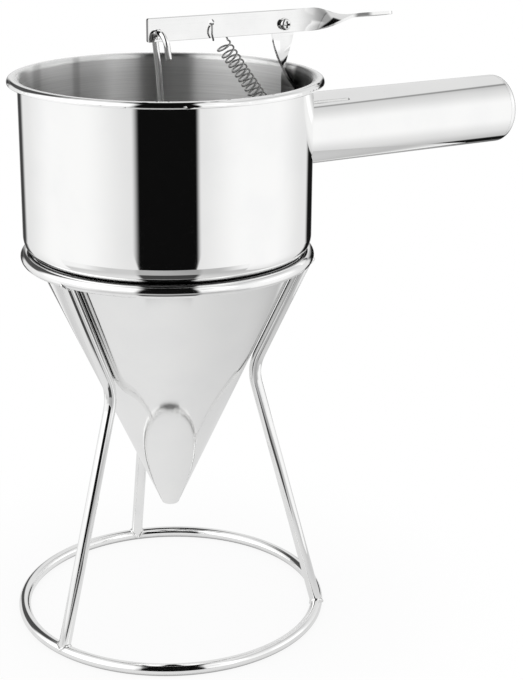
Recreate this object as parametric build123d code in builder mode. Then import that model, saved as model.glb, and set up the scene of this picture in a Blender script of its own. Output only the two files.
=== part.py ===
"""Confectionery funnel in a wire stand.

A straight-sided bowl on a steep cone hangs in a three-legged wire stand.  A thumb lever over the
rim carries a hooked rod whose stopper closes the cone's outlet, and a spring pulls the lever back.

Frame: millimetres, +Z up, the handle points along +X.  The origin is the centre of the base ring,
on the table.  Profiles of the round pieces are drawn as (radius, height).
"""

import math
import os

from build123d import *

# Clearances
seat_gap = 0.3  # bowl over its ring, stopper in the cone, hook in the lever's hole
weld_gap = 0.05  # between pieces that are welded together
fit_gap = 0.05  # radial, round the pivot screw, the rod's end and the cap's spigot
side_play = 0.2  # beside the lever, on each face
rod_gap = 0.7  # between the rod and the lever's back

# Stand
stand_wire_d = 6.0
base_spread = 6.5  # from the bowl's wall out to the middle of the base ring's wire
base_flat = 0.1  # depth of the flat ground under the base ring
upper_ring_z = 190.6  # height of the middle of the wire
leg_turns = {"rear": 76.8, "left": 199.0, "right": 323.5}  # tops, degrees round from the handle
foot_turns = {"rear": 76.8, "left": 197.9, "right": 323.5}  # feet, welded on by eye
leg_bend_z = {"rear": 129.0, "left": 127.5, "right": 132.0}  # hand-bent, so not quite alike
leg_bend_r = 24.0

# Bowl
bowl_r = 70.0  # outside of the straight wall
bowl_sheet = 1.0
bowl_wall = 73.4  # height of the straight wall
bowl_corner_r = 10.6  # outside of the rounded bottom corner
lip_bend_r = 2.5  # inside of the bend from the wall to the lip
lip_reach = 4.9  # from the wall's outside to the lip's edge
lip_curl_r = 2.1  # outside of the lip's curled edge
lip_curl_turn = 115.0
lip_round = 0.3
seat_angle = 49.1  # where the ring meets the bottom corner, degrees below level
seam_angle = 54.0  # where the cone's seam is on the bottom corner, degrees below level

# Cone
cone_half_angle = 24.4
cone_sheet = 0.8
outlet_r = 4.2  # outside of the outlet
outlet_round = 0.25

# Handle
handle_d = 35.6
handle_sheet = 1.2
handle_length = 132.9  # from the bowl's wall to the cap's face
handle_drop = 30.4  # from the straight wall's top down to the handle's axis
cap_depth = 4.6  # from the tube's end to the cap's face
cap_sheet = 1.2
cap_round = 4.0
spigot_depth = 6.0
spigot_wall = 1.2

# Lever
lever_height = 11.0
lever_thickness = 1.5
lever_rise = 21.7  # from the lip's top to the middle of the strip
lever_corner = 1.0
lever_tail = 5.3  # strip beyond the rod's hook
lever_reach = 6.4  # strip beyond the pivot, before the twist
lever_twist = 101.0
twist_length = 36.7
twist_lift = 0.5  # middle of the strip, from one end of the twist to the other
tab_length = 19.8
tab_corner = 3.5
hole_drop = 1.3  # from the middle of the strip down to the pivot and the hook
rod_hole_d = 5.0
spring_hole_d = 3.2
spring_hole_x = 22.4
spring_hole_rise = 1.8  # from the middle of the strip

# Pivot
pivot_inset = 7.0  # from the bowl's outside to the pivot
screw_d = 3.0
head_d = 5.8
head_height = 2.7
head_round = 1.5
recess_width = 1.0
recess_span = 3.4
recess_depth = 1.4
screw_proud = 1.0  # screw's end past the nut
washer_d = 6.0
washer_thickness = 0.6
nut_flats = 5.5
nut_height = 2.4
nut_chamfer = 0.35

# Bracket
bracket_width = 12.0
bracket_thickness = 1.2
plate_below = 5.7  # flat plate below the pivot
plate_shift = 1.0  # middle of the plate, from the pivot towards the wall
foot_below_lip = 10.5  # from the lip's top down to the end of the twist
foot_length = 20.1
ear_bend_r = 1.8
ear_length = 10.4  # from the foot's back to the ear's end
ear_rim = 1.3  # metal between the ear's hole and its end
ear_hole_d = 2.6

# Plunger
rod_d = 3.0
rod_hook_x = -6.1  # hook's place along the lever
rod_neck_x = -4.1  # rod's place below the hook
rod_neck = 17.4  # from the hook down to the neck
rod_lean = 76.0  # from the hook down to where the rod leaves the axis
rod_lean_r = 90.0
rod_neck_r = 60.0
hook_back_r = 2.6
hook_front_r = 5.5
hook_front = 7.4  # from the lever's front to the hook's front leg
hook_tail = 11.6
hook_tail_lean = 1.7
rod_end_round = 0.5
stopper_rise = 6.0  # from the outlet up to the stopper's bottom
stopper_height = 12.0
stopper_floor = 2.0  # solid bottom under the rod
stopper_round = 0.8
collar_d = 8.0
collar_height = 3.0

# Return spring
spring_d = 8.1
spring_wire_d = 0.9
spring_turns = 15
spring_top_shift = 7.1  # from the lever's hole to the first turn's centre
spring_top_drop = 4.0  # from the lever's lower edge
spring_foot_shift = 3.7  # from the ear's hole to the last turn's centre
spring_foot_rise = 5.4  # from the ear's top
first_turn_lift = 1.2  # first turn is pulled open towards the lever
hook_sag = 0.7  # upper hook's wire below the middle of its hole
hook_off = 0.65  # upper hook's end, from the lever's front face
hook_lean = 0.5  # and along the lever from its hole
hook_below = 1.0  # and below the lever's lower edge
hook_bow = 1.5  # middle of its front leg, from the lever's front face
hook_bow_lean = -0.7
hook_bow_rise = 2.8  # and above the lever's lower edge
hook_end_lean = 0.35  # slope of its end away from the lever
hook_back_off = 0.65  # upper hook's back run, from the lever's back face
back_run_start = (2.4, -1.2)  # its start, along and up from the wire in the hole
back_run_exit = (8.9, 0.1)  # its end, along from the hole and up from the lever's lower edge
back_run_dive = 2.4  # its slope down at its start
back_run_fall = 0.1  # and at its end
loop_tail = 1.0  # lower hook's end above the ear
loop_tail_lean = 0.3

twist_sections = 9

# Heights and radii of the stand and the funnel
wire_r = stand_wire_d / 2
base_ring_r = bowl_r + base_spread
base_ring_z = wire_r - base_flat
corner_centre_r = bowl_r - bowl_corner_r
seat_reach = bowl_corner_r + seat_gap + wire_r
upper_ring_r = corner_centre_r + seat_reach * math.cos(math.radians(seat_angle))
corner_z = upper_ring_z + seat_reach * math.sin(math.radians(seat_angle))
lip_z = corner_z + bowl_wall
lip_top = lip_z + lip_bend_r
lip_curl_z = lip_top - lip_curl_r
lip_curl_centre_r = bowl_r + lip_reach - lip_curl_r
bowl_inner_r = bowl_r - bowl_sheet

# Cone, from the seam down its slope to the outlet
slope = math.radians(cone_half_angle)
seam = math.radians(seam_angle)
cone_top_r = corner_centre_r + bowl_corner_r * math.cos(seam) - weld_gap * math.sin(slope)
cone_top_z = corner_z - bowl_corner_r * math.sin(seam) - weld_gap * math.cos(slope)
seam_width = cone_sheet / math.cos(seam - slope)
outlet_z = cone_top_z - (cone_top_r - outlet_r) / math.tan(slope)
outlet_bore_r = outlet_r - cone_sheet / math.cos(slope)


def cone_bore(height):
    """Radius of the inside of the cone at this height."""
    return outlet_bore_r + (height - outlet_z) * math.tan(slope)


# Handle
handle_r = handle_d / 2
handle_z = lip_z - handle_drop
handle_end = bowl_r + handle_length
tube_bore_r = handle_r - handle_sheet

# Stack along the pivot, from the rod's plane at y = 0 to the front and to the back
rod_r = rod_d / 2
lever_back = -rod_r - rod_gap
lever_y = lever_back - lever_thickness / 2
lever_front = lever_back - lever_thickness
head_seat = lever_front - side_play
washer_front = lever_back + side_play
bracket_front = washer_front + washer_thickness
bracket_y = bracket_front + bracket_thickness / 2
bracket_back = bracket_front + bracket_thickness
screw_end = bracket_back + nut_height + screw_proud

# Lever
lever_z = lip_top + lever_rise
lever_bottom = lever_z - lever_height / 2
pivot_x = bowl_r - pivot_inset
pivot_z = lever_z - hole_drop
lever_end = rod_hook_x - lever_tail
twist_start = pivot_x + lever_reach
twist_end = twist_start + twist_length
rod_hole_z = pivot_z + rod_r + seat_gap - rod_hole_d / 2
spring_hole_z = lever_z + spring_hole_rise
screw_r = screw_d / 2

# Bracket
plate_x = pivot_x + plate_shift
plate_bottom = pivot_z - plate_below
foot_top = lip_top - foot_below_lip
foot_edge_y = abs(bracket_y) + bracket_width / 2
foot_back = math.sqrt((bowl_inner_r - weld_gap) ** 2 - foot_edge_y**2)
foot_x = foot_back - bracket_thickness / 2
ear_bottom = foot_top - foot_length
ear_top = ear_bottom + bracket_thickness
ear_end = foot_back - ear_length
ear_hole_x = ear_end + ear_rim + ear_hole_d / 2

# Plunger
hook_front_y = lever_front - hook_front
stopper_bottom = outlet_z + stopper_rise
stopper_top = stopper_bottom + stopper_height
rod_foot = stopper_bottom + stopper_floor + weld_gap

# Return spring, with its axis in the lever's plane
coil_r = (spring_d - spring_wire_d) / 2
spring_wire_r = spring_wire_d / 2
spring_top = Vector(spring_hole_x + spring_top_shift, lever_y, lever_bottom - spring_top_drop)
spring_foot = Vector(ear_hole_x - spring_foot_shift, lever_y, ear_top + spring_foot_rise)

os.makedirs("parts", exist_ok=True)


def save(piece, name):
    """Label a finished piece and write it."""
    piece.part.label = name
    export_step(piece.part, f"parts/{name}.step")


def round_point(radius, turn, height):
    """Point at this radius from the Z axis, turn from the handle in degrees, and height."""
    angle = math.radians(turn)
    return (radius * math.cos(angle), radius * math.sin(angle), height)


def across_plane(x, y, z):
    """Plane square to Y, seen from the front: local x along +X and local y along +Z."""
    return Plane(origin=(x, y, z), x_dir=(1, 0, 0), z_dir=(0, -1, 0))


# Stand: two rings of round wire and three bent legs welded between them
with BuildPart() as base_ring:
    with BuildSketch(Plane.XZ):
        with Locations((base_ring_r, base_ring_z)):
            Circle(wire_r)
        with Locations((base_ring_r, -wire_r)):
            Rectangle(2 * stand_wire_d, stand_wire_d, mode=Mode.SUBTRACT)
    revolve(axis=Axis.Z)
save(base_ring, "stand_base_ring")

with BuildPart() as upper_ring:
    with BuildSketch(Plane.XZ):
        with Locations((upper_ring_r, upper_ring_z)):
            Circle(wire_r)
    revolve(axis=Axis.Z)
save(upper_ring, "stand_upper_ring")

for leg_name, leg_turn in leg_turns.items():
    bend_z = leg_bend_z[leg_name]
    bend_r = upper_ring_r - (upper_ring_z - bend_z) * math.tan(slope)
    foot_turn = foot_turns[leg_name]
    with BuildPart() as leg:
        with BuildLine() as leg_path:
            FilletPolyline(
                round_point(upper_ring_r, leg_turn, upper_ring_z),
                round_point(bend_r, (leg_turn + foot_turn) / 2, bend_z),
                round_point(base_ring_r, foot_turn, base_ring_z),
                radius=leg_bend_r,
            )
        with BuildSketch(Plane(origin=leg_path.line @ 0, z_dir=leg_path.line % 0)):
            Circle(wire_r)
        sweep(path=leg_path.line)
        with Locations((0, 0, upper_ring_z)):
            Torus(upper_ring_r, wire_r + weld_gap, mode=Mode.SUBTRACT)
        with Locations((0, 0, base_ring_z)):
            Torus(base_ring_r, wire_r + weld_gap, mode=Mode.SUBTRACT)
    save(leg, f"stand_leg_{leg_name}")

# Bowl: one sheet profile from the cone's seam up to the lip and its curled edge
bend_centre_r = bowl_inner_r + lip_bend_r
with BuildPart() as bowl:
    with BuildSketch(Plane.XZ):
        with BuildLine():
            corner = CenterArc((corner_centre_r, corner_z), bowl_corner_r, -seam_angle, seam_angle)
            Line(corner @ 1, (bowl_r, lip_z))
            under = CenterArc((bend_centre_r, lip_z), lip_bend_r - bowl_sheet, 180, -90)
            curl_under = CenterArc((lip_curl_centre_r, lip_curl_z), lip_curl_r - bowl_sheet, 90, -lip_curl_turn)
            Line(under @ 1, curl_under @ 0)
            curl_over = CenterArc((lip_curl_centre_r, lip_curl_z), lip_curl_r, 90 - lip_curl_turn, lip_curl_turn)
            Line(curl_under @ 1, curl_over @ 0)
            over = CenterArc((bend_centre_r, lip_z), lip_bend_r, 90, 90)
            Line(curl_over @ 1, over @ 0)
            inside = CenterArc((corner_centre_r, corner_z), bowl_corner_r - bowl_sheet, 0, -seam_angle)
            Line(over @ 1, inside @ 0)
            Line(inside @ 1, corner @ 0)
        make_face()
    revolve(axis=Axis.Z)
    curl_stop = math.radians(90 - lip_curl_turn)
    curl_end_r = lip_curl_centre_r + lip_curl_r * math.cos(curl_stop)
    curl_end = Vertex(curl_end_r, 0, lip_curl_z + lip_curl_r * math.sin(curl_stop))
    rim_edges = bowl.edges().filter_by(GeomType.CIRCLE).sort_by_distance(curl_end)[:2]
    fillet(rim_edges, lip_round)
save(bowl, "bowl")

# Cone: straight sheet from the seam to the outlet, cut level at the bottom
with BuildPart() as cone:
    with BuildSketch(Plane.XZ):
        with BuildLine():
            Polyline(
                (cone_top_r, cone_top_z),
                (cone_top_r - seam_width * math.cos(seam), cone_top_z + seam_width * math.sin(seam)),
                (outlet_bore_r, outlet_z),
                (outlet_r, outlet_z),
                close=True,
            )
        make_face()
    revolve(axis=Axis.Z)
    fillet(cone.edges().group_by(Axis.Z)[0], outlet_round)
save(cone, "cone")

# Handle: wide tube cut to the bowl's wall, and the cap that closes it
tube_end = handle_end - cap_depth - weld_gap
with BuildPart() as handle_tube:
    with BuildSketch(Plane(origin=(0, 0, handle_z), x_dir=(0, 1, 0), z_dir=(1, 0, 0))):
        Circle(handle_r)
        Circle(tube_bore_r, mode=Mode.SUBTRACT)
    extrude(amount=tube_end)
    with Locations((0, 0, handle_z)):
        Cylinder(bowl_r + weld_gap, 2 * handle_d, mode=Mode.SUBTRACT)
save(handle_tube, "handle_tube")

spigot_r = tube_bore_r - fit_gap
cap_bore_r = spigot_r - spigot_wall
cap_seam = -cap_depth
cap_inside_round = cap_round - cap_sheet
with BuildPart() as end_cap:
    with BuildSketch(across_plane(handle_end, 0, handle_z)):
        with BuildLine():
            outside = CenterArc((-cap_round, handle_r - cap_round), cap_round, 0, 90)
            inside = CenterArc((-cap_round, cap_bore_r - cap_inside_round), cap_inside_round, 90, -90)
            Polyline((-cap_sheet, 0), (0, 0), outside @ 0)
            Polyline(
                outside @ 1,
                (cap_seam, handle_r),
                (cap_seam, spigot_r),
                (cap_seam - spigot_depth, spigot_r),
                (cap_seam - spigot_depth, cap_bore_r),
                inside @ 0,
            )
            Line(inside @ 1, (-cap_sheet, 0))
        make_face()
    revolve(axis=Axis((0, 0, handle_z), (1, 0, 0)))
save(end_cap, "handle_end_cap")

# Bracket: plate behind the lever, quarter twist, and a foot on the wall that ends in an ear
with BuildPart() as bracket:
    for step in range(twist_sections):
        share = step / (twist_sections - 1)
        turn = math.radians(90 * share)
        centre = (
            plate_x + share**3 * (foot_x - plate_x),
            bracket_y,
            plate_bottom + share * (foot_top - plate_bottom),
        )
        along = (math.cos(turn), math.sin(turn), 0)
        with BuildSketch(Plane(origin=centre, x_dir=along, z_dir=(0, 0, -1))):
            Rectangle(bracket_width, bracket_thickness)
    loft()
    with BuildSketch(across_plane(plate_x, bracket_y, pivot_z)):
        Circle(bracket_width / 2)
        with Locations((0, -plate_below)):
            Rectangle(bracket_width, plate_below, align=(Align.CENTER, Align.MIN))
        with Locations((-plate_shift, 0)):
            Circle(screw_r + fit_gap, mode=Mode.SUBTRACT)
    extrude(amount=bracket_thickness / 2, both=True)
    with BuildSketch(across_plane(foot_back, bracket_y, ear_bottom)) as foot_profile:
        with BuildLine():
            Polyline(
                (0, foot_length),
                (0, 0),
                (-ear_length, 0),
                (-ear_length, bracket_thickness),
                (-bracket_thickness, bracket_thickness),
                (-bracket_thickness, foot_length),
                close=True,
            )
        make_face()
        bend_outside = foot_profile.vertices().sort_by_distance((0, 0))[0]
        fillet(bend_outside, ear_bend_r + bracket_thickness)
        bend_inside = foot_profile.vertices().sort_by_distance((-bracket_thickness, bracket_thickness))[0]
        fillet(bend_inside, ear_bend_r)
    extrude(amount=bracket_width / 2, both=True)
    with Locations((ear_hole_x, lever_y, ear_bottom)):
        Cylinder(ear_hole_d / 2, 2 * ear_bend_r + bracket_thickness, mode=Mode.SUBTRACT)
save(bracket, "lever_bracket")

# Lever: strip on edge, twisted into a flat thumb tab
with BuildPart() as lever:
    for step in range(twist_sections):
        share = step / (twist_sections - 1)
        ease = share**2 * (3 - 2 * share)  # the twist starts and ends gently
        turn = math.radians(lever_twist * ease)
        centre = (twist_start + share * twist_length, lever_y, lever_z + ease * twist_lift)
        along = (0, math.sin(turn), math.cos(turn))
        with BuildSketch(Plane(origin=centre, x_dir=along, z_dir=(1, 0, 0))):
            Rectangle(lever_height, lever_thickness)
    loft()
    with BuildSketch(across_plane(twist_start, lever_y, lever_z)) as strip:
        Rectangle(twist_start - lever_end, lever_height, align=(Align.MAX, Align.CENTER))
        fillet(strip.vertices().group_by(Axis.X)[0], lever_corner)
        with Locations((rod_hook_x - twist_start, rod_hole_z - lever_z)):
            Circle(rod_hole_d / 2, mode=Mode.SUBTRACT)
        with Locations((spring_hole_x - twist_start, spring_hole_rise)):
            Circle(spring_hole_d / 2, mode=Mode.SUBTRACT)
        with Locations((pivot_x - twist_start, -hole_drop)):
            Circle(screw_r + fit_gap, mode=Mode.SUBTRACT)
    extrude(amount=lever_thickness / 2, both=True)
    tab_turn = math.radians(lever_twist)
    tab_up = (0, -math.cos(tab_turn), math.sin(tab_turn))
    tab_start = (twist_end, lever_y, lever_z + twist_lift)
    with BuildSketch(Plane(origin=tab_start, x_dir=(1, 0, 0), z_dir=tab_up)) as tab:
        Rectangle(tab_length, lever_height, align=(Align.MIN, Align.CENTER))
        fillet(tab.vertices().group_by(Axis.X)[-1], tab_corner)
    extrude(amount=lever_thickness / 2, both=True)
save(lever, "lever")

# Pivot: pan-head screw with a cross recess, spacer washer and nut
with BuildPart() as pivot_screw:
    with BuildSketch(across_plane(pivot_x, head_seat, pivot_z)):
        Circle(head_d / 2)
    extrude(amount=head_height)
    fillet(pivot_screw.edges().group_by(Axis.Y)[0], head_round)
    with BuildSketch(across_plane(pivot_x, head_seat, pivot_z)):
        Circle(screw_r)
    extrude(amount=head_seat - screw_end)
    with BuildSketch(across_plane(pivot_x, head_seat - head_height, pivot_z)):
        Rectangle(recess_span, recess_width)
        Rectangle(recess_width, recess_span)
    extrude(amount=-recess_depth, mode=Mode.SUBTRACT)
save(pivot_screw, "pivot_screw")

with BuildPart() as pivot_washer:
    with BuildSketch(across_plane(pivot_x, bracket_front, pivot_z)):
        Circle(washer_d / 2)
        Circle(screw_r + fit_gap, mode=Mode.SUBTRACT)
    extrude(amount=washer_thickness)
save(pivot_washer, "pivot_washer")

nut_plane = across_plane(pivot_x, bracket_back, pivot_z)
nut_corner_r = nut_flats / math.sqrt(3)
with BuildPart() as pivot_nut:
    with BuildSketch(nut_plane):
        RegularPolygon(nut_flats / 2, 6, major_radius=False)
        Circle(screw_r + fit_gap, mode=Mode.SUBTRACT)
    extrude(amount=-nut_height)
    with BuildSketch(Plane(origin=nut_plane.origin, x_dir=(1, 0, 0), z_dir=(0, 0, 1))):
        with BuildLine():
            Polyline(
                (0, 0),
                (nut_corner_r, 0),
                (nut_corner_r, nut_height - nut_chamfer),
                (nut_corner_r - 2 * nut_chamfer, nut_height),
                (0, nut_height),
                close=True,
            )
        make_face()
    revolve(axis=Axis(nut_plane.origin, (0, 1, 0)), mode=Mode.INTERSECT)
save(pivot_nut, "pivot_nut")

# Plunger: hooked rod, straight on the axis below and leaning to the lever's end above
with BuildPart() as rod:
    with BuildLine() as rod_path:
        FilletPolyline(
            (0, 0, rod_foot),
            (0, 0, pivot_z - rod_lean),
            (rod_neck_x, 0, pivot_z - rod_neck),
            (rod_hook_x, 0, pivot_z),
            (rod_hook_x, hook_front_y, pivot_z),
            (rod_hook_x + hook_tail_lean, hook_front_y, pivot_z - hook_tail),
            radius=[rod_lean_r, rod_neck_r, hook_back_r, hook_front_r],
        )
    with BuildSketch(Plane(origin=rod_path.line @ 0, z_dir=rod_path.line % 0)):
        Circle(rod_r)
    sweep(path=rod_path.line)
    tail_face = rod.faces().filter_by(GeomType.PLANE).sort_by(Axis.Z)[-1]
    fillet(tail_face.edges(), rod_end_round)
save(rod, "plunger_rod")

# Stopper: plug that follows the inside of the cone, with a collar round the rod
stopper_off = seat_gap / math.cos(slope)
with BuildPart() as stopper:
    with BuildSketch(Plane.XZ):
        with BuildLine():
            Polyline(
                (0, stopper_bottom),
                (cone_bore(stopper_bottom) - stopper_off, stopper_bottom),
                (cone_bore(stopper_top) - stopper_off, stopper_top),
                (collar_d / 2, stopper_top),
                (collar_d / 2, stopper_top + collar_height),
                (0, stopper_top + collar_height),
                close=True,
            )
        make_face()
    revolve(axis=Axis.Z)
    plug_edges = stopper.edges().filter_by(GeomType.CIRCLE)
    fillet(plug_edges.sort_by(SortBy.RADIUS)[-1], stopper_round)
    fillet(plug_edges.group_by(Axis.Z)[0], stopper_round)
    with Locations((0, 0, stopper_bottom + stopper_floor)):
        Cylinder(
            rod_r + fit_gap,
            stopper_height + collar_height,
            align=(Align.CENTER, Align.CENTER, Align.MIN),
            mode=Mode.SUBTRACT,
        )
save(stopper, "stopper")

# Return spring: upper hook, right-handed turns and lower hook in one unbroken wire
coil_axis = (spring_foot - spring_top).normalized()
coil_length = (spring_foot - spring_top).length
coil_side = Vector(-coil_axis.Z, 0, coil_axis.X)
coil_front = coil_axis.cross(coil_side)
coil_pitch = coil_length / spring_turns


def coil_point(turns):
    """Middle of the wire, and its direction, so many turns down from the top of the coil."""
    angle = 2 * math.pi * turns
    out = coil_side * math.cos(angle) + coil_front * math.sin(angle)
    ahead = coil_front * math.cos(angle) - coil_side * math.sin(angle)
    place = spring_top + coil_axis * (coil_pitch * turns) + out * coil_r
    heading = ahead * (2 * math.pi * coil_r) + coil_axis * coil_pitch
    return place, heading.normalized()


def arc_middle(start, corner, end):
    """Middle of the arc that touches the lines from the corner to its two ends."""
    chord_middle = (start + end) * 0.5
    rise = corner - chord_middle
    half_chord = (end - start).length / 2
    half_turn = math.atan2(rise.length, half_chord)
    return chord_middle + rise.normalized() * (half_chord * math.tan(half_turn / 2))


straight = 0.999999


def join_by_arcs(start, start_heading, end, end_heading):
    """Two arcs that run into each other, from one place and heading to the next."""
    chord = end - start
    if chord.normalized().dot(start_heading) > straight:
        Line(start, end)
        return
    both = start_heading + end_heading
    spread = 2 * (1 - start_heading.dot(end_heading))
    along = chord.dot(both)
    reach = (math.sqrt(along**2 + spread * chord.dot(chord)) - along) / spread
    first_corner = start + start_heading * reach
    last_corner = end - end_heading * reach
    joint = (first_corner + last_corner) * 0.5
    ThreePointArc(start, arc_middle(start, first_corner, joint), joint)
    ThreePointArc(joint, arc_middle(joint, last_corner, end), end)


hole_wire_z = spring_hole_z - hook_sag
back_run_y = lever_back + hook_back_off + spring_wire_r
run_x, run_z = back_run_start
exit_x, exit_z = back_run_exit
run_start = Vector(spring_hole_x + run_x, back_run_y, hole_wire_z + run_z)
run_exit = Vector(spring_hole_x + exit_x, back_run_y, lever_bottom + exit_z)
hook_face = lever_front - spring_wire_r
hook_end = Vector(spring_hole_x + hook_lean, hook_face - hook_off, lever_bottom - hook_below)
hook_middle = Vector(spring_hole_x + hook_bow_lean, hook_face - hook_bow, lever_bottom + hook_bow_rise)
first_turn, first_heading = coil_point(0.5)
loop_r = (ear_rim + ear_hole_d / 2 + spring_wire_r + 2 * seat_gap) / 2
loop_z = ear_bottom + bracket_thickness / 2
loop_end_x = ear_hole_x - 2 * loop_r
stations = [
    (hook_end, Vector(hook_bow_lean - hook_lean, -hook_end_lean * 4, 4)),
    (hook_middle, Vector(0, 0, 1)),
    (Vector(spring_hole_x, lever_y, hole_wire_z), Vector(0, 1, 0)),
    (run_start, Vector(1, 0, -back_run_dive)),
    (run_exit, Vector(1, 0, -back_run_fall)),
    coil_point(0),
    (first_turn - coil_axis * first_turn_lift, first_heading),
]
stations += [coil_point(half / 2) for half in range(2, 2 * spring_turns + 1)]
stations += [
    (Vector(ear_hole_x, lever_y, loop_z), Vector(0, 0, -1)),
    (Vector(loop_end_x, lever_y, loop_z), Vector(0, 0, 1)),
    (Vector(loop_end_x - loop_tail_lean, lever_y, ear_top + loop_tail), Vector(-loop_tail_lean, 0, loop_tail)),
]

with BuildPart() as spring:
    with BuildLine() as spring_path:
        for (place, heading), (next_place, next_heading) in zip(stations, stations[1:]):
            join_by_arcs(place, heading.normalized(), next_place, next_heading.normalized())
    with BuildSketch(Plane(origin=stations[0][0], z_dir=stations[0][1])):
        Circle(spring_wire_r)
    sweep(path=spring_path.line)
save(spring, "return_spring")

# Least gap of the spring to itself, on points along its wire that are well apart on it
wire_step = spring_wire_d / 2
wire_points = []
for edge in spring_path.line.edges():
    count = max(1, round(edge.length / wire_step))
    wire_points += [edge @ (place / count) for place in range(count)]
apart = round(4 * spring_wire_d / wire_step)
least = min(
    (wire_points[far] - wire_points[near]).length
    for near in range(len(wire_points))
    for far in range(near + apart, len(wire_points))
)
tightest = min(edge.radius for edge in spring_path.line.edges().filter_by(GeomType.CIRCLE))
wire_length = sum(edge.length for edge in spring_path.line.edges())
wire_volume = math.pi * spring_wire_r**2 * wire_length
print(f"spring: least gap to itself {least - spring_wire_d:.2f} mm, tightest bend {tightest:.2f} mm")
print(f"spring: volume {spring.part.volume:.1f} mm3, wire section times length {wire_volume:.1f} mm3")
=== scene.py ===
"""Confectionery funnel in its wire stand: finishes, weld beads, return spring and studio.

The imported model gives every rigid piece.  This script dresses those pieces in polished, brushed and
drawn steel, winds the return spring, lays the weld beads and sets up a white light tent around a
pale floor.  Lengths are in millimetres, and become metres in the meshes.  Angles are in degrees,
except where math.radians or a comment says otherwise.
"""

import math

import bpy
import numpy as np
from mathutils import Matrix


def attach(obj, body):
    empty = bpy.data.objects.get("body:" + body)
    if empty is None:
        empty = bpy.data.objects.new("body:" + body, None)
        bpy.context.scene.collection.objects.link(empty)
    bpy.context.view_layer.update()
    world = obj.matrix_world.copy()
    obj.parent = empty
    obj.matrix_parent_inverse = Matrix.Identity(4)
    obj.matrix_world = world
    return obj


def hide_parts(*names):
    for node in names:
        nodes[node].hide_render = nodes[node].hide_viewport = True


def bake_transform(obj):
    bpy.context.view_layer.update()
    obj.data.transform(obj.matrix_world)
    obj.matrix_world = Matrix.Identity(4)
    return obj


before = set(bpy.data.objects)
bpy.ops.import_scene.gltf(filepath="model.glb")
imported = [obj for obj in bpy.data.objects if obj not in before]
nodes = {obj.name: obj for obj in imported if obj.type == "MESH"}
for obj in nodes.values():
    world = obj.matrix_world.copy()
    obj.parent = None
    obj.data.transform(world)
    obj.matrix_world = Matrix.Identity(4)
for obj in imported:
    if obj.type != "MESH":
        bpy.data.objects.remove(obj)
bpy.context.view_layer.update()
scene = bpy.context.scene

MM = 0.001

# Sizes that the finishes and the added pieces share with the solids
wire_r = 3.0
ring_z = 190.6
base_spread = 6.5
base_flat = 0.1
leg_turns = {"rear": 76.8, "left": 199.0, "right": 323.5}
foot_turns = {"rear": 76.8, "left": 197.9, "right": 323.5}
leg_bends = {"rear": 129.0, "left": 127.5, "right": 132.0}
bowl_r = 70.0
bowl_sheet = 1.0
bowl_corner_r = 10.6
bowl_wall = 73.4
lip_bend_r = 2.5
seat_gap = 0.3
seat_angle = math.radians(49.1)
cone_slope = math.radians(24.4)
cone_sheet = 0.8
outlet_r = 4.2
outlet_z = 57.1
handle_r = 17.8
handle_drop = 30.4
lever_y = -2.95
lever_rise = 21.7
lever_height = 11.0

# Places that follow from them: the ring meets the bowl's corner at the seat's angle below level
seat_reach = bowl_corner_r + seat_gap + wire_r
corner_r = bowl_r - bowl_corner_r
ring_r = corner_r + seat_reach * math.cos(seat_angle)
corner_z = ring_z + seat_reach * math.sin(seat_angle)
wall_top = corner_z + bowl_wall
lip_top = wall_top + lip_bend_r
base_r = bowl_r + base_spread
base_z = wire_r - base_flat
handle_z = wall_top - handle_drop
lever_z = lip_top + lever_rise

# The camera looks along this heading, turned from the handle's direction
view_heading = math.radians(58.443)
view_ahead = np.array([math.cos(view_heading), math.sin(view_heading), 0])
view_right = np.array([math.sin(view_heading), -math.cos(view_heading), 0])


class Value:
    """A socket in a node tree.  Arithmetic on it adds Math nodes."""

    def __init__(self, tree, socket):
        self.tree = tree
        self.socket = socket

    def maths(self, operation, other=0.0):
        """One Math node on this value and another, such as a square root or the larger of two."""
        return add(self.tree, "Math", {"operation": operation}, {0: self, 1: other})

    def __add__(self, other):
        return self.maths("ADD", other)

    def __sub__(self, other):
        return self.maths("SUBTRACT", other)

    def __rsub__(self, other):
        return add(self.tree, "Math", {"operation": "SUBTRACT"}, {0: other, 1: self})

    def __mul__(self, other):
        return self.maths("MULTIPLY", other)

    def __neg__(self):
        return self.maths("MULTIPLY", -1.0)

    def __abs__(self):
        return self.maths("ABSOLUTE")

    __radd__ = __add__
    __rmul__ = __mul__


def add(tree, kind, settings=None, sockets=None, out=0):
    """Add a shader node: its settings first, then the values or links of its sockets."""
    node = tree.nodes.new("ShaderNode" + kind)
    for key, setting in (settings or {}).items():
        setattr(node, key, setting)
    for key, given in (sockets or {}).items():
        if isinstance(given, Value):
            tree.links.new(given.socket, node.inputs[key])
        else:
            node.inputs[key].default_value = given
    return Value(tree, node.outputs[out])


def add_output(tree, kind, shader):
    """Close a node tree with its output."""
    output = tree.nodes.new("ShaderNode" + kind)
    tree.links.new(shader.socket, output.inputs["Surface"])


def ramp(value, low, high, gain=1.0):
    """0 below low, gain above high and a smooth step between them."""
    sockets = {"Value": value, "From Min": low, "From Max": high, "To Max": gain}
    return add(value.tree, "MapRange", {"interpolation_type": "SMOOTHSTEP"}, sockets)


def band(value, rise, top, fall, end, gain=1.0):
    """0 outside rise to end, gain from top to fall, with smooth shoulders."""
    return ramp(value, rise, top, gain) * (1 - ramp(value, fall, end))


def larger(first, second):
    """The larger of two values."""
    return first.maths("MAXIMUM", second)


def dot(vector, axis):
    """How far a vector reaches along a fixed axis."""
    settings = {"operation": "DOT_PRODUCT"}
    return add(vector.tree, "VectorMath", settings, {0: vector, 1: tuple(axis)}, out="Value")


def bearing_of(across, along):
    """Angle of a direction in degrees, from along round to across."""
    return across.maths("ARCTAN2", along) * math.degrees(1)


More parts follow.
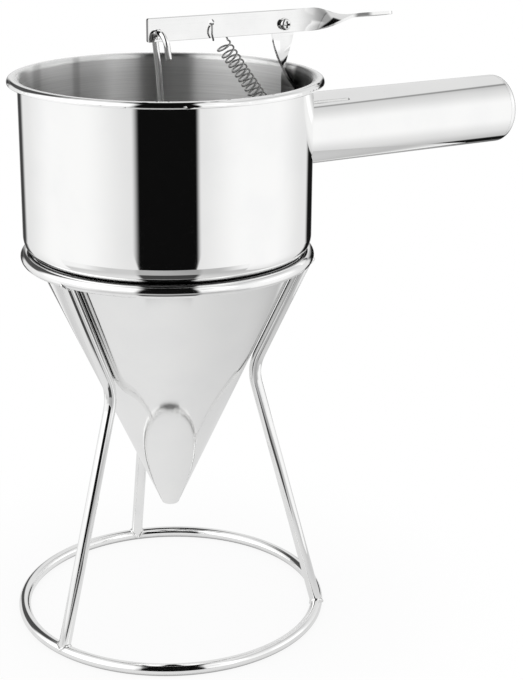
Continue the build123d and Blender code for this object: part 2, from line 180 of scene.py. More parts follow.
def places(tree):
    """The object's own coordinates: whole in metres, and x, y and z in millimetres."""
    whole = add(tree, "TexCoord", out="Object")
    apart = add(tree, "SeparateXYZ", None, {0: whole}).socket.node
    return whole, [Value(tree, apart.outputs[axis]) * (1 / MM) for axis in range(3)]


def radius_of(x, y):
    """Distance from the funnel's axis: the square root of x squared plus y squared."""
    return (x * x + y * y).maths("SQRT")


def grain(whole, waves, detail=3.0):
    """Noise from 0 to 1, with so many waves per metre along each of the object's axes."""
    placed = add(whole.tree, "Mapping", None, {"Vector": whole, "Scale": waves})
    return add(whole.tree, "TexNoise", None, {"Vector": placed, "Scale": 1.0, "Detail": detail})


def blend_colours(share, first, second):
    """The first colour where share is 0, the second where it is 1."""
    ends = [colour if isinstance(colour, Value) else (*colour, 1) for colour in (first, second)]
    sockets = {0: share, 6: ends[0], 7: ends[1]}
    return add(share.tree, "Mix", {"data_type": "RGBA"}, sockets, out=2)


# Painted shade in each crevice: depth in millimetres, tone, shut share and clear share
deep_crevice_shade = (1.6, 0.12, 0.1, 0.75)
shallow_crevice_shade = (0.8, 0.3, 0.1, 0.75)
seat_crevice_shade = (4.0, 0.1, 0.45, 0.85)
floor_crevice_shade = (5.0, 0.3, 0.25, 0.75)


def painted_crevice_shade(colour, depth, tone, shut, clear):
    """The colour with painted shade, darker where surfaces close up on each other.

    It is the tone where less than the shut share of the space around is open, and as it was where
    more than the clear share is.
    """
    open_share = add(colour.tree, "AmbientOcclusion", {"samples": 8}, {"Distance": depth * MM}, out="AO")
    return blend_colours(ramp(open_share, shut, clear), (tone, tone, tone), colour)


def metal(tree, finish, brushing=0.0, crevice_shade=None):
    """A metal shader from a finish: colour, roughness, bump height and bump depth in metres.

    Brushing spreads the gloss up and down the sheet, across lines that run round it.
    """
    colour, roughness, height, depth = finish
    # Painted shade in each crevice, where a setting for it is given
    if crevice_shade:
        colour = painted_crevice_shade(colour, *crevice_shade)
    bump = add(tree, "Bump", None, {"Height": height, "Distance": depth, "Strength": 1.0})
    sockets = {"Base Color": colour, "Roughness": roughness, "Metallic": 1.0, "Normal": bump}
    if brushing:
        sockets |= {"Anisotropic": brushing, "Anisotropic Rotation": 0.25}
    return add(tree, "BsdfPrincipled", None, sockets)


def new_material(name):
    """An empty node material."""
    material = bpy.data.materials.new(name)
    material.use_nodes = True
    material.node_tree.nodes.clear()
    return material


def steel(name, build, crevice_shade=None):
    """A material with one finish all over."""
    material = new_material(name)
    tree = material.node_tree
    add_output(tree, "OutputMaterial", metal(tree, build(tree), crevice_shade=crevice_shade))
    return material


def sheet(name, inside_of, rough, crevice_shade):
    """A sheet that is polished outside and brushed inside, where inside_of gives 1."""
    material = new_material(name)
    tree = material.node_tree
    outside = metal(tree, polished(rough)(tree), crevice_shade=crevice_shade)
    inside = metal(tree, turned_brush(tree), brushing=1.0)
    sockets = {0: inside_of(tree), 1: outside, 2: inside}
    add_output(tree, "OutputMaterial", add(tree, "MixShader", None, sockets))
    return material


# Mirror polish
bright = (0.93, 0.93, 0.925)
hazed = (0.885, 0.888, 0.89)
haze_waves = (45.0, 45.0, 45.0)
buffed_waves = (2600.0, 2600.0, 900.0)
ripple_waves = (70.0, 70.0, 55.0)
ripple_depth = 8e-7


def polished(rough):
    """Mirror polish: a low, uneven haze, fine buffing lines and a faint ripple of the sheet."""

    def build(tree):
        whole, _ = places(tree)
        haze = ramp(grain(whole, haze_waves), 0.35, 0.75)
        buffed = grain(whole, buffed_waves, 2.0)
        ripple = grain(whole, ripple_waves, 1.0)
        colour = blend_colours(haze * 0.6, bright, hazed)
        return colour, rough + haze * 0.012 + buffed * 0.008, ripple + buffed * 0.04, ripple_depth

    return build


# Brushed inside: heights where its painted shade lightens, a painted dark reflection on the wall by the
# bracket, and two painted dark reflections as upright marks
brushed_dark = (0.34, 0.34, 0.337)
brushed_light = (0.99, 0.99, 0.985)
painted_dark_tone = (0.06, 0.06, 0.06)
fine_brush_waves = (30.0, 30.0, 3000.0)
coarse_brush_waves = (14.0, 14.0, 1300.0)
brush_depth = 1e-5
lowest_painted_shade = 0.3
middle_wall_painted_light = (225.0, 262.0, 0.4)
upper_wall_painted_light = (265.0, 275.0, 0.3)
painted_reflection_x = (48.0, 58.0, 0.9)
painted_reflection_y = (2.0, 7.0, 18.0, 60.0)
rear_painted_reflection = (-50.9, -48.9, -47.9, -45.9, 0.28)
left_painted_reflection = (-66.8, -65.3, -64.3, -62.3, 0.28)
painted_reflection_half = (0.0, 5.0)


def turned_brush(tree):
    """Brush lines round the sheet, fine and coarse, for the bowl's and the cone's inside.

    It is darker where the photograph is, whether the sheet itself is dark there or reflects so. It
    carries painted shade, darker lower down, and painted dark reflections by the bracket and in two
    upright marks.
    """
    whole, (x, y, z) = places(tree)
    fine = grain(whole, fine_brush_waves)
    coarse = grain(whole, coarse_brush_waves, 2.0)
    lines = ramp(fine * 0.6 + coarse * 0.4, 0.3, 0.7)
    # Painted shade: the wall darker lower down and lighter towards the top
    shade = lowest_painted_shade + ramp(z, *middle_wall_painted_light) + ramp(z, *upper_wall_painted_light)
    colour = blend_colours(lines * 0.2 + shade * 0.8, brushed_dark, brushed_light)
    # Painted dark reflections: a patch on the wall by the bracket and two upright marks
    painted_reflection = ramp(x, *painted_reflection_x) * band(-y, *painted_reflection_y)
    aside = dot(whole, view_right / MM)
    streaks = band(aside, *rear_painted_reflection) + band(aside, *left_painted_reflection)
    streaks = streaks * ramp(dot(whole, view_ahead / MM), *painted_reflection_half)
    colour = blend_colours(larger(painted_reflection, streaks), colour, painted_dark_tone)
    return colour, 0.33 + fine * 0.05, fine + coarse * 0.5, brush_depth


# The brushed side gives way to the polish over these widths
corner_fade = 0.15
lip_fade = (bowl_r - 0.4, bowl_r + 2.8)
wall_top_fade = 0.2
cone_fade = 0.1


def bowl_inside(tree):
    """1 where a place is nearer to the corner's circle than the middle of the sheet; fades on the lip."""
    _, (x, y, z) = places(tree)
    radius = radius_of(x, y)
    out = radius - corner_r
    drop = (z - corner_z).maths("MINIMUM", 0.0)
    near = (out * out + drop * drop).maths("SQRT")
    middle = bowl_corner_r - bowl_sheet / 2
    wall = 1 - ramp(near, middle - corner_fade, middle + corner_fade)
    lip = 1 - ramp(radius, *lip_fade)
    return wall + (lip - wall) * ramp(z, wall_top - wall_top_fade, wall_top + wall_top_fade)


def cone_inside(tree):
    """1 where a place is nearer to the axis than the middle of the cone's sheet."""
    _, (x, y, z) = places(tree)
    outlet_middle = outlet_r - cone_sheet / 2 / math.cos(cone_slope)
    middle = (z - outlet_z) * math.tan(cone_slope) + outlet_middle
    return 1 - ramp(radius_of(x, y) - middle, -cone_fade, cone_fade)


# Cold-rolled strip
strip_light = (0.93, 0.93, 0.925)
strip_grey = (0.84, 0.842, 0.842)
strip_dark = (0.14, 0.14, 0.14)
rolled_waves = (22.0, 900.0, 1900.0)
cloud_waves = (60.0, 60.0, 60.0)
rolled_depth = 4e-7


def strip_finish(whole, dark):
    """Cold-rolled strip: bright satin, with lines along its length, and dark grey where dark is 1, for
    darker edges and for painted shade and reflections.
    """
    lines = grain(whole, rolled_waves, 4.0)
    cloud = ramp(grain(whole, cloud_waves), 0.35, 0.7)
    colour = blend_colours(lines * 0.5 + cloud * 0.4, strip_light, strip_grey)
    roughness = 0.04 + lines * 0.04 + cloud * 0.02
    return blend_colours(dark, colour, strip_dark), roughness, lines, rolled_depth


# Dark places of the lever: darker edges across the strip and at its end, and painted dark reflections
# along it and in front of the tab's middle
darker_edge = (lever_height / 2 - 0.3, lever_height / 2 - 0.05, 0.55)
darker_edge_end = (66.0, 74.0)
darker_end = (11.0, 11.4, 0.9)
twist_painted_reflection = (68.0, 86.0, 89.0, 91.0, 0.6)
tab_edge_painted_reflection = (100.0, 104.0, 109.0, 113.0, 0.9)
tab_front = (4.4, 4.9)
tip_painted_reflection = (124.6, 125.3, 0.8)


def lever_finish(tree):
    """Strip with dark edges, darkest at its end, and painted dark reflections on the twist, the tab's
    edge and the tip.
    """
    whole, (x, y, z) = places(tree)
    edge = ramp(abs(z - lever_z), *darker_edge) * (1 - ramp(x, *darker_edge_end))
    # Painted dark reflections on the tab's edge, the twist and the tip
    tab_edge_reflection = band(x, *tab_edge_painted_reflection) * ramp(lever_y - y, *tab_front)
    dark = larger(edge, band(x, *twist_painted_reflection))
    dark = larger(dark, ramp(-x, *darker_end))
    return strip_finish(whole, larger(dark, tab_edge_reflection + ramp(x, *tip_painted_reflection)))


# Painted shade on the bracket's foot: how dark it is, and where that fades
bracket_foot_shade = 0.75
bracket_shade_fade = (lip_top - 10.0, lip_top + 2.0, bracket_foot_shade)


def bracket_finish(tree):
    """Strip with painted shade on its foot, below the lip."""
    whole, (_, _, z) = places(tree)
    # Painted shade on the foot, fading out up to the lip
    return strip_finish(whole, bracket_foot_shade - ramp(z, *bracket_shade_fade))


# Wire, fasteners and welds
wire_bright = (0.93, 0.93, 0.925)
wire_dull = (0.87, 0.872, 0.874)
dull_spot_waves = (120.0, 120.0, 60.0)
drawn_waves = (1800.0, 1800.0, 260.0)
drawn_depth = 1e-7
spring_light = (0.5, 0.5, 0.495)
spring_dark = (0.3, 0.3, 0.3)
spring_waves = (900.0, 900.0, 900.0)
turned_light = (0.88, 0.88, 0.87)
turned_dark = (0.74, 0.74, 0.735)
tool_mark_waves = (1400.0, 1400.0, 1400.0)
tool_mark_depth = 2e-6
weld_light = (0.92, 0.92, 0.915)
weld_dark = (0.7, 0.695, 0.69)
weld_waves = (1500.0, 1500.0, 1500.0)
weld_depth = 8e-6


def drawn_wire(tree):
    """Bright drawn wire: fine lines along it and slight dull spots."""
    whole, _ = places(tree)
    dull = ramp(grain(whole, dull_spot_waves), 0.45, 0.75)
    fine = grain(whole, drawn_waves)
    colour = blend_colours(dull * 0.7 + fine * 0.3, wire_bright, wire_dull)
    return colour, 0.05 + dull * 0.03 + fine * 0.01, fine, drawn_depth


def spring_wire(tree):
    """Hard-drawn spring wire, greyer than the sheet."""
    fine = grain(places(tree)[0], spring_waves)
    return blend_colours(fine, spring_light, spring_dark), 0.08 + fine * 0.1, fine, tool_mark_depth


def turned_part(tree):
    """Small turned parts: satin, with fine tool marks."""
    marks = grain(places(tree)[0], tool_mark_waves)
    return blend_colours(marks, turned_light, turned_dark), 0.1 + marks * 0.1, marks, tool_mark_depth


def weld_metal(tree):
    """Weld bead, brushed bright after welding, with a few dull grains."""
    grains = grain(places(tree)[0], weld_waves)
    dull = ramp(grains, 0.45, 0.75)
    return blend_colours(dull, weld_light, weld_dark), 0.12 + dull * 0.15, grains, weld_depth


# Materials, some with painted shade in each crevice
mirror_steel = steel("mirror_polished_steel", polished(0.02))
bowl_steel = sheet("bowl_steel", bowl_inside, 0.015, seat_crevice_shade)
cone_steel = sheet("cone_steel", cone_inside, 0.06, shallow_crevice_shade)
lever_steel = steel("lever_steel", lever_finish, shallow_crevice_shade)
bracket_steel = steel("bracket_steel", bracket_finish, shallow_crevice_shade)
wire_steel = steel("drawn_wire_steel", drawn_wire, shallow_crevice_shade)
base_steel = steel("base_ring_steel", drawn_wire, floor_crevice_shade)
spring_steel = steel("spring_wire_steel", spring_wire)
fastener_steel = steel("satin_fastener_steel", turned_part, deep_crevice_shade)
weld_steel = steel("weld_bead_steel", weld_metal)

finishes = {
    "bowl": bowl_steel,
    "cone": cone_steel,
    "handle_tube": mirror_steel,
    "handle_end_cap": mirror_steel,
    "lever": lever_steel,
    "lever_bracket": bracket_steel,
    "pivot_screw": fastener_steel,
    "pivot_washer": fastener_steel,
    "pivot_nut": fastener_steel,
    "plunger_rod": wire_steel,
    "stopper": fastener_steel,
    "stand_base_ring": base_steel,
    "stand_upper_ring": wire_steel,
    "stand_leg_rear": wire_steel,
    "stand_leg_left": wire_steel,
    "stand_leg_right": wire_steel,
    "return_spring": spring_steel,
}
for node_name, node_finish in finishes.items():
    slots = nodes[node_name].data.materials
    slots.clear()
    slots.append(node_finish)


def unit(vectors):
    """Vectors scaled to length 1 along the last axis."""
    return vectors / np.linalg.norm(vectors, axis=-1, keepdims=True)


def full_turn(count):
    """So many angles round a circle, in radians."""
    return np.linspace(0, 2 * math.pi, count, endpoint=False)


def rings(middles, up, sideways, radius, sides):
    """Rings round a line of places: up times the cosine plus sideways times the sine, times radius."""
    turn = full_turn(sides)[None, :, None]
    ring = up[:, None] * np.cos(turn) + sideways[:, None] * np.sin(turn)
    return middles[:, None] + ring * radius


# Edges that turn by more than this stay sharp
sharp_angle = math.radians(50)


def grid_piece(name, points, finish, closed=False):
    """Mesh of a grid of points (rows, columns, 3) in millimetres.

    Neighbouring points make a quad.  Columns close round, rows close when closed is true, and
    otherwise the first and last rows get a flat cap each.
    """
    rows, columns, _ = points.shape
    index = np.arange(rows * columns).reshape(rows, columns)
    down = np.roll(index, -1, axis=0) if closed else index[1:]
    here = index if closed else index[:-1]
    quads = np.stack([here, np.roll(here, -1, 1), np.roll(down, -1, 1), down], axis=-1)
    faces = quads.reshape(-1, 4).tolist()
    if not closed:
        faces += [index[0][::-1].tolist(), index[-1].tolist()]
    mesh = bpy.data.meshes.new(name)
    mesh.from_pydata((points.reshape(-1, 3) * MM).tolist(), [], faces)
    mesh.polygons.foreach_set("use_smooth", np.ones(len(mesh.polygons), bool))
    mesh.set_sharp_from_angle(angle=sharp_angle)
    mesh.materials.append(finish)
    piece = bpy.data.objects.new(name, mesh)
    scene.collection.objects.link(piece)
    return piece


def turned_about(vector, axis, angles):
    """Rodrigues' rotation of a vector about a unit axis by each angle."""
    cos, sin = np.cos(angles)[:, None], np.sin(angles)[:, None]
    return vector * cos + np.cross(axis, vector) * sin + axis * (vector @ axis) * (1 - cos)


def two_arcs(start, heading, end, end_heading):
    """Ends and headings of two arcs that run into each other between two headings.

    Both arcs leave their end by the same reach along its heading, and meet half-way between the
    two corners, so the reach solves a quadratic in the chord and the headings.
    """
    chord = end - start
    spread = 2 * (1 - heading @ end_heading)
    along = chord @ (heading + end_heading)
    reach = (math.sqrt(along**2 + spread * (chord @ chord)) - along) / max(spread, 1e-12)
    meet = ((start + heading * reach) + (end - end_heading * reach)) / 2
    return [(start, heading, meet), (meet, unit(end - end_heading * reach - meet), end)]


# Wire: sides of a ring, step between rings, when a run counts as straight, and a side for the spokes
wire_sides = 14
wire_step = 0.28
straight = 0.999999
least_bend = 1e-6
spoke_side = (0.31, 0.87, 0.38)


def wire_arcs(stations):
    """Start, heading and end of each arc of a wire that passes the stations (place, heading)."""
    spots = [np.array(place, float) for place, _ in stations]
    headings = [unit(np.array(heading, float)) for _, heading in stations]
    arcs = []
    for number in range(len(spots) - 1):
        here, there = spots[number : number + 2]
        if unit(there - here) @ headings[number] > straight:
            arcs.append((here, headings[number], there))
        else:
            arcs += two_arcs(here, headings[number], there, headings[number + 1])
    return arcs


def wire_rows(stations, radius):
    """Rings of a round wire that passes each station on arcs.

    On each arc the ring's first spoke is turned about the arc's axis with the heading, so the wire
    doesn't twist.
    """
    arcs = wire_arcs(stations)
    spoke = unit(np.cross(arcs[0][1], spoke_side))
    rows = []
    for start, heading, end in arcs:
        chord = end - start
        length = np.linalg.norm(chord)
        axis = np.cross(heading, chord / length)
        bend = np.linalg.norm(axis)
        if bend < least_bend:
            share = np.linspace(0, 1, max(2, round(length / wire_step)), endpoint=False)
            middles = start + chord * share[:, None]
            ahead = np.repeat(heading[None], len(share), 0)
            spokes = np.repeat(spoke[None], len(share), 0)
        else:
            axis = axis / bend
            sweep = 2 * math.atan2(bend, heading @ chord / length)
            arc_r = length / (2 * math.sin(sweep / 2))
            share = np.linspace(0, sweep, max(4, round(arc_r * sweep / wire_step)), endpoint=False)
            inward = np.cross(axis, heading)
            middles = start + inward * arc_r - turned_about(inward, axis, share) * arc_r
            ahead = turned_about(heading, axis, share)
            spokes = turned_about(spoke, axis, share)
            spoke = turned_about(spoke, axis, np.array([sweep]))[0]
        rows.append(rings(middles, spokes, np.cross(ahead, spokes), radius, wire_sides))
    last = rows[-1][-1] + (arcs[-1][2] - rows[-1][-1].mean(0))
    return np.concatenate(rows + [last[None]])


# Return spring: hook through the lever, turns down to the bracket's ear, and a hook round the ear
ear_hole_x = 60.814
ear_z = lip_top - 30.0
spring_top = np.array([29.5, lever_y, lever_z - 9.5])
spring_foot = np.array([ear_hole_x - 3.7, lever_y, ear_z + 6.0])
spring_turns = 15
coil_r = 3.6
spring_wire_r = 0.45
first_turn_lift = 1.2
coil_length = np.linalg.norm(spring_foot - spring_top)
coil_axis = (spring_foot - spring_top) / coil_length
coil_side = np.array([-coil_axis[2], 0, coil_axis[0]])
coil_front = np.cross(coil_axis, coil_side)
coil_pitch = coil_length / spring_turns


def coil_station(turns, lift=0.0):
    """Place and heading on the helix: out along the turn's radius, and on by the pitch per turn."""
    angle = 2 * math.pi * turns
    out = coil_side * math.cos(angle) + coil_front * math.sin(angle)
    ahead = coil_front * math.cos(angle) - coil_side * math.sin(angle)
    place = spring_top + coil_axis * (coil_pitch * turns - lift) + out * coil_r
    return place, ahead * 2 * math.pi * coil_r + coil_axis * coil_pitch


lever_hook = [
    ((22.9, -4.8, lever_z - 6.5), (-1.2, -1.4, 4)),
    ((21.7, -5.65, lever_z - 2.7), (0, 0, 1)),
    ((22.4, lever_y, lever_z + 1.1), (0, 1, 0)),
    ((24.8, -1.1, lever_z - 0.1), (1, 0, -2.4)),
    ((31.3, -1.1, lever_z - 5.4), (1, 0, -0.1)),
]
coil = [coil_station(0), coil_station(0.5, first_turn_lift)]
coil += [coil_station(half / 2) for half in range(2, 2 * spring_turns + 1)]
ear_hook = [
    ((ear_hole_x, lever_y, ear_z), (0, 0, -1)),
    ((ear_hole_x - 3.65, lever_y, ear_z), (0, 0, 1)),
    ((ear_hole_x - 3.95, lever_y, ear_z + 1.6), (-0.3, 0, 1)),
]
spring_rows = wire_rows(lever_hook + coil + ear_hook, spring_wire_r)
spring = grid_piece("return_spring_wire", spring_rows, spring_steel)
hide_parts("return_spring")
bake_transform(spring)

# Weld beads
bead_sides = 10
leg_bead_r = 0.85
leg_bead_points = 72
leg_weld_reach = 9.0
halvings = 30
top_bead_share = 0.25
foot_bead_share = 0.8
handle_bead_r = 0.32
handle_bead_points = 160
handle_bead_ripples = 23


def bead_piece(name, line, across, radius, finish):
    """Bead along a closed line: rings square to the line, of a radius that varies along it."""
    ahead = unit(np.roll(line, -1, 0) - np.roll(line, 1, 0))
    up = unit(across - ahead * np.sum(across * ahead, 1, keepdims=True))
    points = rings(line, up, np.cross(ahead, up), radius[:, None, None], bead_sides)
    return grid_piece(name, points, finish, closed=True)


def leg_weld(name, bend, end, circle_r, circle_z, inward_share):
    """Bead where a leg's tube, from its bend to its end, meets a ring's wire.

    Each line along the tube's skin is halved until its distance to the ring's circle is the wire's
    radius.  On the side that faces the cone the bead has only the inward share of its radius.
    """
    along = unit(end - bend)
    length = np.linalg.norm(end - bend)
    out = unit(np.array([end[0], end[1], 0]))
    first = unit(out - along * (out @ along))
    second = np.cross(along, first)
    angle = full_turn(leg_bead_points)
    skin = (first * np.cos(angle)[:, None] + second * np.sin(angle)[:, None]) * wire_r
    low = np.full(leg_bead_points, length - leg_weld_reach)
    high = np.full(leg_bead_points, length)
    for _ in range(halvings):
        middle = (low + high) / 2
        spot = bend + along * middle[:, None] + skin
        apart = np.hypot(np.hypot(spot[:, 0], spot[:, 1]) - circle_r, spot[:, 2] - circle_z)
        low = np.where(apart > wire_r, middle, low)
        high = np.where(apart > wire_r, high, middle)
    line = bend + along * low[:, None] + skin
    outer = (1 + np.cos(angle)) / 2
    ripple = 1 + 0.1 * np.sin(7 * angle) + 0.05 * np.sin(13 * angle + 1)
    radius = leg_bead_r * ripple * (inward_share + (1 - inward_share) * outer)
    bead = bead_piece(name, line, np.repeat(along[None], leg_bead_points, 0), radius, weld_steel)
    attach(bead, "stand")


def round_point(radius, turn, height):
    """Place at this radius from the axis, turn from the handle in degrees, and height."""
    angle = math.radians(turn)
    return np.array([radius * math.cos(angle), radius * math.sin(angle), height])


for leg_name, leg_turn in leg_turns.items():
    foot_turn = foot_turns[leg_name]
    bend_z = leg_bends[leg_name]
    bend_r = ring_r - (ring_z - bend_z) * math.tan(cone_slope)
    leg_bend = round_point(bend_r, (leg_turn + foot_turn) / 2, bend_z)
    leg_top = round_point(ring_r, leg_turn, ring_z)
    leg_foot = round_point(base_r, foot_turn, base_z)
    leg_weld(f"leg_top_weld_{leg_name}", leg_bend, leg_top, ring_r, ring_z, top_bead_share)
    leg_weld(f"leg_foot_weld_{leg_name}", leg_bend, leg_foot, base_r, base_z, foot_bead_share)

# Handle weld, where the tube meets the bowl: x squared plus y squared is the bowl's radius squared
handle_angle = full_turn(handle_bead_points)
saddle_y = handle_r * np.sin(handle_angle)
saddle_z = handle_z + handle_r * np.cos(handle_angle)
saddle = np.stack([np.sqrt(bowl_r**2 - saddle_y**2), saddle_y, saddle_z], 1)
handle_weld = bead_piece(
    "handle_weld",
    saddle,
    np.repeat(np.array([[1.0, 0, 0]]), handle_bead_points, 0),
    handle_bead_r * (1 + 0.1 * np.sin(handle_bead_ripples * handle_angle)),
    mirror_steel,
)
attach(handle_weld, "funnel")

# Camera: its place, focal length and sensor in millimetres, and its tilts in radians
camera_place = np.array([-349.76, -657.79, 396.673])
camera_lens = 83.267
camera_sensor = 36.0
camera_pitch = 0.326
camera_roll = 0.0098


def make_camera():
    """The photograph's camera: 844 mm from the base ring's middle, looking 18.7 degrees down."""
    forward = view_ahead * math.cos(camera_pitch) - np.array([0, 0, math.sin(camera_pitch)])
    up = np.cross(view_right, forward)
    level = view_right * math.cos(camera_roll) + up * math.sin(camera_roll)
    upright = up * math.cos(camera_roll) - view_right * math.sin(camera_roll)
    data = bpy.data.cameras.new("camera")
    data.sensor_width = camera_sensor
    data.lens = camera_lens
    camera = bpy.data.objects.new("camera", data)
    turn = Matrix(np.stack([level, upright, -forward], 1).tolist())
    camera.matrix_world = Matrix.Translation((camera_place * MM).tolist()) @ turn.to_4x4()
    scene.collection.objects.link(camera)
    scene.camera = camera


def ray_kinds(tree):
    """1 for a ray from the camera, and 1 for a ray that metal or glass sends on."""
    path = add(tree, "LightPath").socket.node
    camera, glossy, transmitted = [
        Value(tree, path.outputs[f"Is {kind} Ray"]) for kind in ("Camera", "Glossy", "Transmission")
    ]
    return camera, larger(glossy, transmitted)


# Light tent.  Turns go round from the camera to its right, lifts go up from the horizon, and slopes
# go up from the sides to the top.  The third or fifth number of a row is what it adds or takes away.
even_light = 0.85
wall_level = 1.02
wall_middle = 80.0
wall_end = (15.0, 58.0, 0.19)
wall_head = (18.0, 58.0, 0.32)
wall_foot = (20.0, 62.0, 0.3)
wall_foot_turn = (0.0, 30.0)
roof_level = 0.8
roof_slope = (56.5, 58.5)
rear_turn = (150.0, 166.0)
seam_slope = (54.5, 56.5, 57.0, 59.0, 0.5)
seam_turn = (0.0, 10.0, 140.0, 160.0)


def tent_walls(turn, lift, slope):
    """Side walls, brightest abreast of the object and dimmer to their ends, and a plain roof and rear."""
    wall = wall_level - ramp(abs(abs(turn) - wall_middle), *wall_end) - ramp(lift, *wall_head)
    wall = wall - ramp(-lift, *wall_foot) * ramp(turn, *wall_foot_turn)
    plain = larger(ramp(slope, *roof_slope), ramp(abs(turn), *rear_turn))
    level = wall + (roof_level - wall) * plain
    return level * (1 - band(slope, *seam_slope) * band(turn, *seam_turn))


# Panels on both sides of the slit: where they stand, their feet and heads, and how bright they are
left_panel_turn = (15.5, 19.5, 85.0, 115.0)
left_panel_light = 0.3
left_panel_rise = (26.0, 44.0, 0.25)
right_panel_turn = (24.5, 28.5, 53.0, 66.0)
right_panel_light = 0.2
right_panel_rise = (36.0, 58.0, 0.4)
right_foot_rise = (44.0, 56.0, 18.0)
panel_foot = (0.0, 8.0)
panel_head = (50.0, 75.0)
side_panel_turn = (77.0, 86.0, 108.0, 124.0, 0.18)
side_panel_lift = (1.0, 6.0, 22.0, 34.0)


def tent_panels(turn, lift):
    """Light that the panels beside the slit, above the horizon, add to the walls."""
    left = band(-turn, *left_panel_turn) * ramp(lift, *panel_foot)
    left = left * (left_panel_light + ramp(-turn, *left_panel_rise))
    right = band(turn, *right_panel_turn) * ramp(lift - ramp(turn, *right_foot_rise), *panel_foot)
    right = right * (right_panel_light + ramp(turn, *right_panel_rise))
    side = band(turn, *side_panel_turn) * band(lift, *side_panel_lift)
    return (left + right) * (1 - ramp(lift, *panel_head)) + side


# Rear corners, darker on the handle's side, and the gap above the far one
corner_head = (5.0, 22.0)
corner_lean = (22.0, 36.0, 7.0)
near_corner_turn = (142.5, 151.0, 166.0, 173.0, 0.99)
far_corner_turn = (140.0, 150.0, 157.0, 166.0, 0.93)
far_gap_turn = (108.0, 120.0, 160.0, 170.0, 0.9)
far_gap_lift = (6.0, 14.0, 42.0, 56.0)


def tent_corners(turn, lift):
    """Share of light that the dark corners and the gap leave."""
    low_only = 1 - ramp(lift, *corner_head)
    near = band(turn + ramp(-lift, *corner_lean), *near_corner_turn) * low_only
    far = band(-turn, *far_corner_turn) * low_only
    gap = band(-turn, *far_gap_turn) * band(lift, *far_gap_lift)
    return (1 - near) * (1 - far) * (1 - gap)


# Slit for the lens: half its width, where it narrows and ends, and how dark it is
slit_heading = math.radians(3.3)
slit_ahead = -view_ahead * math.cos(slit_heading) + view_right * math.sin(slit_heading)
slit_right = view_right * math.cos(slit_heading) + view_ahead * math.sin(slit_heading)
slit_half_width = 23.4
slit_narrowing = (0.0, 95.0, 11.4)
slit_foot = (17.22, 17.5, 4.0)
slit_left_edge = (-3.2, 3.2)
slit_right_edge = (-2.2, 2.2)
slit_end = (118.0, 128.0)
slit_low_dark = 0.5
slit_high_dark = (-23.0, -19.0, 0.495)


def tent_slit(way, height):
    """Share of light that the slit leaves: dark from the front over the roof, and narrower above."""
    aside = dot(way, slit_right).maths("ARCSINE") * math.degrees(1)
    over = bearing_of(height, dot(way, slit_ahead))
    half_width = slit_half_width - ramp(over, *slit_narrowing) - ramp(-over, *slit_foot)
    slit = ramp(aside + half_width, *slit_left_edge) * (1 - ramp(aside - half_width, *slit_right_edge))
    slit = slit * (1 - ramp(over, *slit_end))
    return 1 - slit * (slit_low_dark + ramp(over, *slit_high_dark))


def make_tent():
    """World: a white tent, with a dark slit for the lens, dark rear corners and dark upper seams.

    The camera sees plain white, metal sees the tent, and an even light falls on the floor.
    """
    world = bpy.data.worlds.new("light_tent")
    scene.world = world
    world.use_nodes = True
    tree = world.node_tree
    tree.nodes.clear()
    way = add(tree, "TexCoord", out="Generated")
    across = dot(way, view_right)
    height = dot(way, (0, 0, 1))
    turn = bearing_of(across, dot(way, -view_ahead))
    lift = height.maths("ARCSINE") * math.degrees(1)
    level = tent_walls(turn, lift, bearing_of(height, abs(across))) + tent_panels(turn, lift)
    level = level * tent_corners(turn, lift) * tent_slit(way, height)
    camera_ray, mirrored = ray_kinds(tree)
    share = larger(camera_ray, mirrored)
    strength = even_light + (larger(level, camera_ray) - even_light) * share
    sockets = {"Color": (1, 1, 1, 1), "Strength": strength}
    add_output(tree, "OutputWorld", add(tree, "Background", None, sockets))


# Floor: its outline, bearings to the right of the camera's side, and the painted light that metal sees in
# it
floor_front_r = 680.0
floor_left = math.radians(-85.0)
floor_right = math.radians(68.0)
floor_half_wide = 255.0
floor_rear = 350.0
floor_tone = (0.94, 0.94, 0.94, 1)
shadow_clear = 0.9
shadow_end = (60.0, 200.0, 0.1)
glow_level = 0.81
glow_fall = (160.0, 340.0, 0.18)
glow_right_fall = (-50.0, 200.0, 0.13)
rim_level = 0.98
rim_front = (520.0, 680.0)
rim_bearing = (40.0, 66.0)
rim_side = (300.0, 400.0)
strip_near = (140.0, 170.0, 280.0, 300.0, 0.97)
strip_far = (280.0, 300.0, 0.3)
strip_bearing = (-22.5, -17.5, 25.5, 30.5)
mirrored_share = 0.95


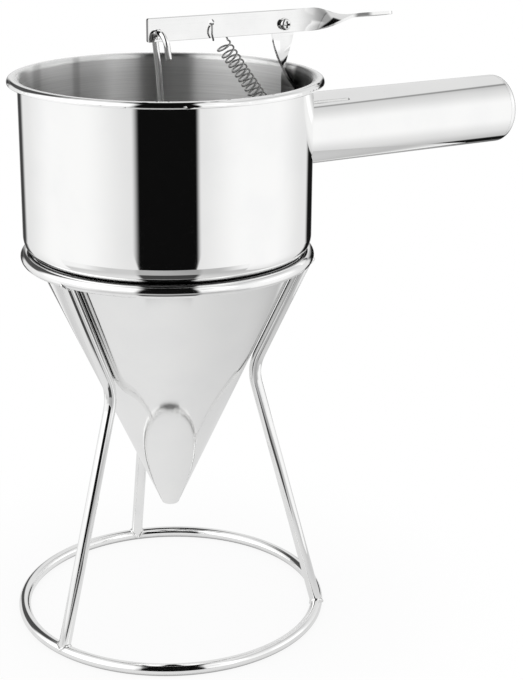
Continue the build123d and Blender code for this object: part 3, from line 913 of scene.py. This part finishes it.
def floor_mesh():
    """One flat face: a sector of a circle in front, and a rectangle behind."""
    sweep = np.linspace(floor_left, floor_right, 52)
    front = np.stack([np.sin(sweep), -np.cos(sweep)], 1) * floor_front_r
    back = [
        (floor_half_wide, -floor_half_wide / math.tan(floor_right)),
        (floor_half_wide, floor_rear),
        (-floor_half_wide, floor_rear),
        (-floor_half_wide, floor_half_wide / math.tan(floor_left)),
    ]
    outline = np.concatenate([front, back])
    points = (outline[:, :1] * view_right + outline[:, 1:] * view_ahead) * MM
    mesh = bpy.data.meshes.new("floor")
    mesh.from_pydata(points.tolist(), [], [list(range(len(points)))])
    return mesh


def floor_glow(radius, aside, bearing):
    """Painted light that metal sees in the floor: pale, white at its rim, and with painted shade in the
    slit's strip.
    """
    glow = glow_level - ramp(radius, *glow_fall) - ramp(aside, *glow_right_fall)
    side_rim = ramp(abs(bearing), *rim_bearing) * ramp(radius, *rim_side)
    glow = glow + (rim_level - glow) * larger(ramp(radius, *rim_front), side_rim)
    strip = band(radius, *strip_near) + ramp(radius, *strip_far)
    return glow * (1 - strip * band(bearing, *strip_bearing))


def make_floor():
    """Pale floor, white to the camera except for the object's shadow, and giving off painted light to
    reflected rays.
    """
    floor = bpy.data.objects.new("floor", floor_mesh())
    scene.collection.objects.link(floor)
    material = new_material("pale_floor")
    tree = material.node_tree
    whole, (x, y, _) = places(tree)
    radius = radius_of(x, y)
    aside = dot(whole, view_right / MM)
    bearing = bearing_of(aside, dot(whole, -view_ahead / MM))
    camera_ray, mirrored = ray_kinds(tree)
    # Painted light that the floor gives off to reflected rays
    light = camera_ray + mirrored * floor_glow(radius, aside, bearing)
    clear = shadow_clear + ramp(radius, *shadow_end)
    share = larger(camera_ray * clear, mirrored * mirrored_share)
    shade = add(tree, "BsdfDiffuse", None, {"Color": floor_tone})
    white = add(tree, "Emission", None, {"Color": light})
    add_output(tree, "OutputMaterial", add(tree, "MixShader", None, {0: share, 1: shade, 2: white}))
    floor.data.materials.append(material)


make_camera()
make_tent()
make_floor()
scene.view_settings.view_transform = "Standard"
